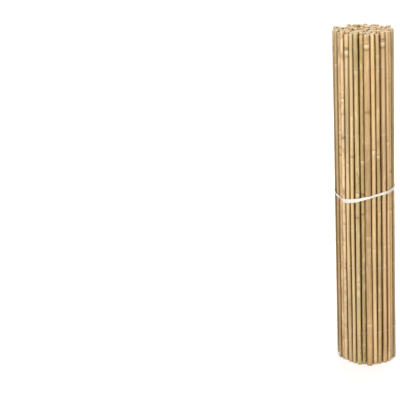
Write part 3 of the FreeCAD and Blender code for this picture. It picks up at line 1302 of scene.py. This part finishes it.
def weather_group() -> Tree:
    """Soft stains and small long specks, as weather and fungus leave on cane.

    Returns:
        The group.
    """
    takes = {"Place": "Vector", "Stain Size": "Float", "Speck Size": "Float", "Amount": "Float"}
    sheet, given = new_tree("Shader", "weather_marks", takes, {"Stains": "Float", "Specks": "Float"})
    size = sheet.maths("DIVIDE", 1.0, given["Stain Size"])
    place = sheet.vector("MULTIPLY", given["Place"], sheet.xyz(X=size, Y=size, Z=sheet.times(size, 0.35)))
    floor = sheet.less(0.72, sheet.times(given["Amount"], 0.22))
    stains = sheet.ramp(sheet.noise(place, 1.0, 4.0, 0.6), floor, sheet.plus(floor, 0.14))
    grain = sheet.maths("DIVIDE", 1.0, given["Speck Size"])
    fine = sheet.xyz(X=grain, Y=grain, Z=sheet.times(grain, 0.3))
    spot = sheet.ramp(sheet.cells(sheet.vector("MULTIPLY", given["Place"], fine), 1.0), 0.16, 0.34, 1.0, 0.0)
    where = sheet.ramp(sheet.noise(place, 2.6, 2.0), floor, sheet.plus(floor, 0.1))
    sheet.add("NodeGroupOutput", {"Stains": stains, "Specks": sheet.times(spot, where)})
    return sheet.tree


def new_sheet(owner: Material | bpy.types.World) -> NodeSheet:
    """Clears the nodes of a material or of the surround.

    Args:
        owner: what the nodes belong to.

    Returns:
        A sheet to write new ones on.
    """
    owner.use_nodes = True
    owner.node_tree.nodes.clear()
    return NodeSheet(owner.node_tree)


@dataclass(frozen=True)
class Finish:
    """What all finishes have: a name, and one shader whose sockets they fill."""

    name: str

    def build(self, effects: Effects) -> Material:
        """Makes the material.

        Args:
            effects: the shared groups of nodes.

        Returns:
            The material.
        """
        material = bpy.data.materials.new(self.name)
        sheet = new_sheet(material)
        shader = sheet.add("ShaderNodeBsdfPrincipled", self.look(sheet, effects))
        sheet.add("ShaderNodeOutputMaterial", {"Surface": shader.outputs["BSDF"]})
        return material

    def look(self, sheet: NodeSheet, effects: Effects) -> dict[str, object]:
        """What the sockets of the shader are joined or set to, which each finish says for itself."""
        raise NotImplementedError


@dataclass(frozen=True)
class CaneSkin(Finish):
    """The hard, half glossy skin of dried cane."""

    name: str = "cane_skin_shown"
    mirror: float = 0.42
    coat: float = 0.2
    bloom: Colour = linear(246, 226, 190)
    scar: Colour = linear(96, 68, 36)
    ridge: Colour = linear(176, 138, 88)
    stain: Colour = linear(142, 106, 60)
    faded: Colour = linear(244, 216, 176)
    speck: Colour = linear(104, 74, 42)
    # Painted shade between the canes: the brown that the flanks facing the neighbouring canes are darkened
    # towards.
    gap_shade: Colour = linear(124, 80, 8)

    def look(self, sheet: NodeSheet, effects: Effects) -> dict[str, object]:
        """Streaked and stained, with pale and dark rings at the joints and painted shade between the canes.

        Args:
            sheet: the sheet that the nodes go on.
            effects: the shared groups of nodes.

        Returns:
            What the sockets of the shader are joined or set to.
        """
        place = sheet.carried("cane_place")
        bloom, scar, ridge = sheet.split(sheet.carried("marks"))
        freckled, from_end, height = sheet.split(sheet.carried("habit"))
        fine, broad = sheet.group(
            effects.fibres, Place=place, Fine_Width=0.0005, Broad_Width=0.0026, Stretch=70.0
        )
        stains, specks = sheet.group(
            effects.weather, Place=place, Stain_Size=0.012, Speck_Size=0.0026, Amount=freckled
        )
        light = sheet.times(
            sheet.ramp(broad, 0.3, 0.7, 0.8, 1.15),
            sheet.ramp(fine, 0.3, 0.7, 0.9, 1.08),
            sheet.ramp(sheet.noise(place, (30.0, 30.0, 5.0), 2.0), 0.3, 0.7, 0.84, 1.1),
        )
        colour = sheet.scaled(sheet.carried("tone"), light)
        green = sheet.ramp(sheet.noise(place, (22.0, 22.0, 3.2), 1.0), 0.5, 0.72, 0.0, 0.4)
        colour = sheet.mix(green, colour, sheet.vector("MULTIPLY", colour, (0.93, 0.97, 0.84)))
        pale = sheet.ramp(sheet.noise(place, (90.0, 90.0, 26.0), 3.0, 0.6), 0.54, 0.68, 0.0, 0.55)
        uneven = sheet.ramp(sheet.noise(place, 330.0), 0.34, 0.62, 0.25, 1.0)
        for shares, layer in (
            ((pale, freckled), self.faded),
            ((stains, 0.6), self.stain),
            ((specks, 0.85), self.speck),
            ((bloom, uneven, 0.78), self.bloom),
            ((ridge, uneven, 0.55), self.ridge),
            ((scar, uneven, 0.92), self.scar),
        ):
            colour = sheet.mix(sheet.times(*shares), colour, layer)
        # Painted shade between the canes: the flanks turned away from the outside of the roll darken towards
        # a brown, a quarter as much near the cut ends and half as much at the top of the roll; the painted
        # shade also roughens the skin and takes off its coat.
        patchy = sheet.noise(place, (900.0, 900.0, 150.0), 3.0, 0.7)
        edge = sheet.plus(
            sheet.carried("outward", "Fac"),
            sheet.ramp(broad, 0.3, 0.7, -0.12, 0.12),
            sheet.ramp(patchy, 0.3, 0.7, -0.1, 0.1),
        )
        gap_shade = sheet.times(
            sheet.ramp(edge, 0.56, 0.06, 0.0, 0.94),
            sheet.ramp(from_end, 0.0, 1.0, 0.25, 1.0),
            sheet.ramp(height, 0.5, 0.9, 1.0, 0.5),
        )
        gloss = sheet.plus(
            sheet.ramp(broad, 0.3, 0.7, 0.46, 0.32),
            sheet.times(stains, 0.16),
            sheet.times(bloom, 0.12),
            sheet.times(gap_shade, 0.4),
        )
        return {
            "Base Color": sheet.mix(gap_shade, colour, self.gap_shade),
            "Roughness": gloss,
            "Specular IOR Level": self.mirror,
            "Coat Weight": sheet.times(sheet.less(1.0, gap_shade), self.coat),
            "Coat Roughness": 0.2,
            "Normal": sheet.bump(sheet.less(fine, sheet.times(specks, 0.4)), 0.35, 0.00012),
        }


@dataclass(frozen=True)
class CutEnd(Finish):
    """Sawn end grain: pale, with the dark dots of the fibre bundles."""

    name: str = "cane_cut_end"
    pale: Colour = linear(252, 238, 206)
    dull: Colour = linear(230, 206, 164)
    dots: Colour = linear(128, 92, 54)

    def look(self, sheet: NodeSheet, effects: Effects) -> dict[str, object]:
        """Dull, dotted and a little stained.

        Args:
            sheet: the sheet that the nodes go on.
            effects: the shared groups of nodes.

        Returns:
            What the sockets of the shader are joined or set to.
        """
        place = sheet.carried("cane_place")
        stains, _ = sheet.group(effects.weather, Place=place, Stain_Size=0.006, Speck_Size=0.0011, Amount=0.9)
        dot = sheet.ramp(sheet.cells(place, 1500.0, 0.85), 0.18, 0.36, 0.8, 0.0)
        tint = sheet.ramp(sheet.noise(place, 260.0), 0.35, 0.65)
        colour = sheet.mix(tint, self.pale, self.dull)
        colour = sheet.mix(sheet.times(stains, 0.45), colour, self.dots)
        return {
            "Base Color": sheet.mix(sheet.times(dot, 0.7), colour, self.dots),
            "Roughness": sheet.ramp(tint, 0.0, 1.0, 0.7, 0.86),
            "Normal": sheet.bump(sheet.less(tint, dot), 0.5, 0.00015),
        }


@dataclass(frozen=True)
class CaneHollow(Finish):
    """The inside of a cane: dull, and papery where the joint closes it."""

    name: str = "cane_hollow"
    wall: Colour = linear(230, 204, 158)
    shade: Colour = linear(172, 140, 94)
    paper: Colour = linear(224, 206, 168)

    def look(self, sheet: NodeSheet, effects: Effects) -> dict[str, object]:
        """Streaked along the cane, and stained.

        Args:
            sheet: the sheet that the nodes go on.
            effects: the shared groups of nodes.

        Returns:
            What the sockets of the shader are joined or set to.
        """
        place = sheet.carried("cane_place")
        _, closed, _ = sheet.split(sheet.carried("habit"))
        fine, broad = sheet.group(
            effects.fibres, Place=place, Fine_Width=0.0004, Broad_Width=0.0012, Stretch=30.0
        )
        stains, _ = sheet.group(effects.weather, Place=place, Stain_Size=0.008, Speck_Size=0.001, Amount=0.6)
        colour = sheet.mix(sheet.ramp(broad, 0.3, 0.7), self.wall, self.shade)
        colour = sheet.mix(sheet.times(stains, 0.5), colour, self.shade)
        return {
            "Base Color": sheet.mix(sheet.times(closed, 0.6), colour, self.paper),
            "Roughness": sheet.ramp(fine, 0.3, 0.7, 0.72, 0.9),
            "Normal": sheet.bump(fine, 0.4, 0.0001),
        }


@dataclass(frozen=True)
class ZincWire(Finish):
    """Thin zinc coated wire, dulled by air."""

    name: str = "binding_wire_zinc"
    bright: Colour = linear(224, 217, 202)
    dull: Colour = linear(176, 166, 148)

    def look(self, sheet: NodeSheet, effects: Effects) -> dict[str, object]:
        """Patchy metal with spangles.

        Args:
            sheet: the sheet that the nodes go on.
            effects: the shared groups of nodes, not used here.

        Returns:
            What the sockets of the shader are joined or set to.
        """
        place = sheet.get("ShaderNodeTexCoord", wanted="Object")
        patch = sheet.noise(place, 700.0)
        return {
            "Base Color": sheet.mix(sheet.ramp(patch, 0.35, 0.65), self.bright, self.dull),
            "Roughness": sheet.ramp(sheet.cells(place, 900.0), 0.0, 0.8, 0.3, 0.5),
            "Metallic": sheet.ramp(patch, 0.4, 0.8, 0.95, 0.6),
            "Normal": sheet.bump(patch, 0.25, 0.00005),
        }


@dataclass(frozen=True)
class WovenTape(Finish):
    """White tape woven from flat plastic threads."""

    name: str = "tie_strap_woven"
    white: Colour = linear(252, 246, 235)
    # Painted shade for the creases, and a colour that the weave pattern takes a little of.
    shade: Colour = linear(226, 214, 202)
    stain: Colour = linear(176, 156, 130)
    thread: float = 0.0009

    def look(self, sheet: NodeSheet, effects: Effects) -> dict[str, object]:
        """Woven, creased along its length and a little stained.

        Args:
            sheet: the sheet that the nodes go on.
            effects: the shared groups of nodes.

        Returns:
            What the sockets of the shader are joined or set to.
        """
        place = sheet.get("ShaderNodeUVMap", uv_map="along")
        along, across, _ = sheet.split(place)
        warp = sheet.maths("SINE", sheet.times(across, TAU / self.thread))
        weave = sheet.times(warp, sheet.maths("SINE", sheet.times(along, TAU / self.thread)))
        creased = sheet.noise(place, (90.0, 420.0, 1.0))
        wide = sheet.get("ShaderNodeTexCoord", wanted="Object")
        stains, _ = sheet.group(effects.weather, Place=wide, Stain_Size=0.012, Speck_Size=0.0015, Amount=0.3)
        # Painted shade in the creases: where the tape is creased it darkens towards the shade colour; the
        # weave pattern tints it a little towards the same colour.
        colour = sheet.mix(sheet.ramp(creased, 0.35, 0.7), self.white, self.shade)
        colour = sheet.mix(sheet.ramp(weave, -1.0, 1.0, 0.0, 0.25), colour, self.shade)
        relief = sheet.plus(sheet.maths("ABSOLUTE", warp), sheet.times(creased, 2.2))
        return {
            "Base Color": sheet.mix(sheet.times(stains, 0.18), colour, self.stain),
            "Roughness": sheet.ramp(creased, 0.3, 0.7, 0.38, 0.55),
            "Normal": sheet.bump(sheet.plus(sheet.times(weave, 0.4), relief), 0.5, 0.0002),
        }


# Studio.


@dataclass(frozen=True)
class Lamp:
    """A soft lamp: where it hangs, how large and how strong it is."""

    name: str
    spot: Spot
    size: float
    power: float


@dataclass
class Studio:
    """The pale floor, the soft light, the white surround and the camera."""

    aim: Spot = (0.0, 0.0, 0.5)
    lamps: tuple[Lamp, ...] = (
        Lamp("key", (-2.2, -2.7, 2.5), 1.1, 84.0),
        Lamp("fill", (0.8, -3.5, 1.7), 1.5, 52.0),
        Lamp("back", (0.8, 2.8, 2.4), 2.0, 78.0),
    )
    ambient: float = 0.3
    floor_half: float = 9.0
    floor_colour: Colour = (0.86, 0.86, 0.86)
    # How the floor glows to the eye, near the roll and further off.
    floor_glow: Range = (0.34, 0.76)
    floor_reach: Range = (0.3, 2.4)
    # The place of the camera, and how it is turned: to the left, down, and about its line of sight.
    eye: Spot = (-0.603, -4.187, 1.764)
    turned: float = -0.028
    lowered: float = 0.2895
    rolled: float = -0.0444
    sensor: float = 36.0
    focal_share: float = 3.735
    clip: Range = (0.05, 60.0)

    def build(self) -> None:
        """Sets up the floor, the light, the surround and the camera."""
        self.floor()
        for lamp in self.lamps:
            light = bpy.data.lights.new(lamp.name, "AREA")
            light.shape = "DISK"
            light.size = lamp.size
            light.energy = lamp.power
            item = put(lamp.name, light)
            item.location = lamp.spot
            way = Vector(self.aim) - Vector(lamp.spot)
            item.rotation_euler = way.to_track_quat("-Z", "Y").to_euler()
        self.surround()
        self.camera()
        bpy.context.scene.view_settings.view_transform = "Standard"

    def floor(self) -> None:
        """Lays a plain pale floor that keeps the roll's shadow."""
        half = self.floor_half
        mesh = bpy.data.meshes.new("floor")
        corners = [(-half, -half, 0), (half, -half, 0), (half, half, 0), (-half, half, 0)]
        mesh.from_pydata(corners, [], [(0, 1, 2, 3)])
        material = bpy.data.materials.new("pale_floor")
        sheet = new_sheet(material)
        shader = sheet.get("ShaderNodeBsdfPrincipled", {"Base Color": self.floor_colour, "Roughness": 0.9})
        place = sheet.get("ShaderNodeTexCoord", wanted="Object")
        far = sheet.get("ShaderNodeVectorMath", {0: place}, "Value", operation="LENGTH")
        seen = sheet.get("ShaderNodeLightPath", wanted="Is Camera Ray")
        strength = sheet.times(seen, sheet.ramp(far, *self.floor_reach, *self.floor_glow))
        glow = sheet.get("ShaderNodeEmission", {"Color": (1.0, 1.0, 1.0), "Strength": strength})
        both = sheet.get("ShaderNodeAddShader", {0: shader, 1: glow})
        sheet.add("ShaderNodeOutputMaterial", {"Surface": both})
        mesh.materials.append(material)
        floor = put("floor", mesh)

    def surround(self) -> None:
        """Makes the surround white to look at, and a soft grey light on the roll."""
        world = bpy.data.worlds.new("surround")
        sheet = new_sheet(world)
        path = sheet.add("ShaderNodeLightPath").outputs
        seen = sheet.maths("MAXIMUM", path["Is Glossy Ray"], path["Is Transmission Ray"])
        seen = sheet.maths("MAXIMUM", path["Is Camera Ray"], seen)
        strength = sheet.ramp(seen, 0.0, 1.0, self.ambient, 1.0)
        backdrop = sheet.get("ShaderNodeBackground", {"Color": (1.0, 1.0, 1.0), "Strength": strength})
        sheet.add("ShaderNodeOutputWorld", {"Surface": backdrop})
        bpy.context.scene.world = world

    def camera(self) -> None:
        """Puts up the camera at the photograph's viewing angle."""
        data = bpy.data.cameras.new("camera")
        data.sensor_width = self.sensor
        data.sensor_fit = "AUTO"
        data.lens = self.sensor * self.focal_share
        data.clip_start, data.clip_end = self.clip
        item = put("camera", data)
        turn, down, roll = self.turned, self.lowered, self.rolled
        ahead = Vector((-math.sin(turn) * math.cos(down), math.cos(turn) * math.cos(down), -math.sin(down)))
        right = Vector((math.cos(turn), math.sin(turn), 0))
        up = right.cross(ahead)
        right, up = right * math.cos(roll) + up * math.sin(roll), up * math.cos(roll) - right * math.sin(roll)
        columns = Matrix((right, up, -ahead)).transposed()
        item.matrix_world = Matrix.Translation(Vector(self.eye)) @ columns.to_4x4()
        bpy.context.scene.camera = item


def main() -> None:
    """Builds the roll, its lacing and its tie, and sets them in the studio."""
    logging.basicConfig(level=logging.INFO, format="%(name)s: %(message)s")
    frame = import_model()
    nodes = frame["nodes"]
    screen = Screen(nodes)
    screen.read()

    effects = Effects(fibre_group(), weather_group())
    skin = CaneSkin().build(effects)
    # The inner turns get a shaded copy of the skin, with little reflection and no coat, so that they stay
    # dark as painted shade behind the outer canes.
    shaded_skin = CaneSkin("cane_skin_shaded", mirror=0.12, coat=0.0).build(effects)
    ends = {Zone.CUT: CutEnd().build(effects), Zone.HOLLOW: CaneHollow().build(effects)}
    rule = cane_tree()
    for name, turn in screen.turns.items():
        shown = name == screen.outer
        finishes = {Zone.SKIN: skin if shown else shaded_skin, **ends}
        piece = TurnOfCanes(name, turn, rule, finishes, shown).build()
        LOG.info("%s: %d canes, %d faces", piece.name, len(turn), len(piece.data.polygons))

    outer, second = screen.turns["canes_turn_1"], screen.turns["canes_turn_2"]
    first = outer[0].centre
    before = min(second, key=lambda c: (c.centre - first).length if c.centre.y > first.y else 1.0)
    wires, zinc = wire_tree(), ZincWire().build(effects)
    for name in sorted(n for n in nodes if n.startswith("binding_wire_")):
        piece = LacingRow(name, [before, *outer], wires, zinc).build()
        LOG.info("%s: %d faces", piece.name, len(piece.data.polygons))

    for piece in TieStrap(outer, WovenTape().build(effects), nodes["tie_strap"]).build():
        LOG.info("%s: %d faces", piece.name, len(piece.data.polygons))

    Studio().build()


if __name__ == "__main__":
    main()
